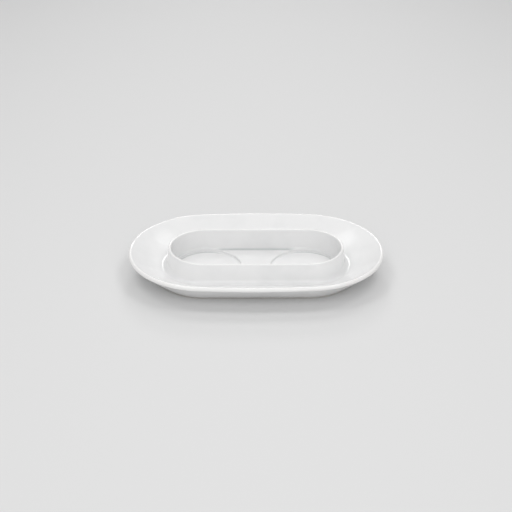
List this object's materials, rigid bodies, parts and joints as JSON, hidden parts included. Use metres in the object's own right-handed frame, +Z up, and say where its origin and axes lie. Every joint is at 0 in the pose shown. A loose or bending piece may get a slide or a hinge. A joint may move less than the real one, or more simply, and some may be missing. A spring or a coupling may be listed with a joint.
{
  "type": "oval saucer",
  "caption": "Oval white porcelain saucer with a dished border and an upright collar around a well with round recessed seats for cups.",
  "frame": {"origin": "centre of the standing plane under the foot ring", "axes": "+X along the long axis to the right seat, +Y to the back, +Z up out of the well"},
  "size_m": [0.24, 0.15, 0.0285],
  "materials": {
    "glazed_porcelain": "glossy clear glaze over white hard porcelain",
    "bare_porcelain": "unglazed, ground smooth, matt"
  },
  "bodies": {
    "root": {"flange": "glazed_porcelain", "collar": "glazed_porcelain", "bridge": "glazed_porcelain", "left_seat": "glazed_porcelain", "right_seat": "glazed_porcelain", "foot_ring": "bare_porcelain"}
  },
  "joints": []
}
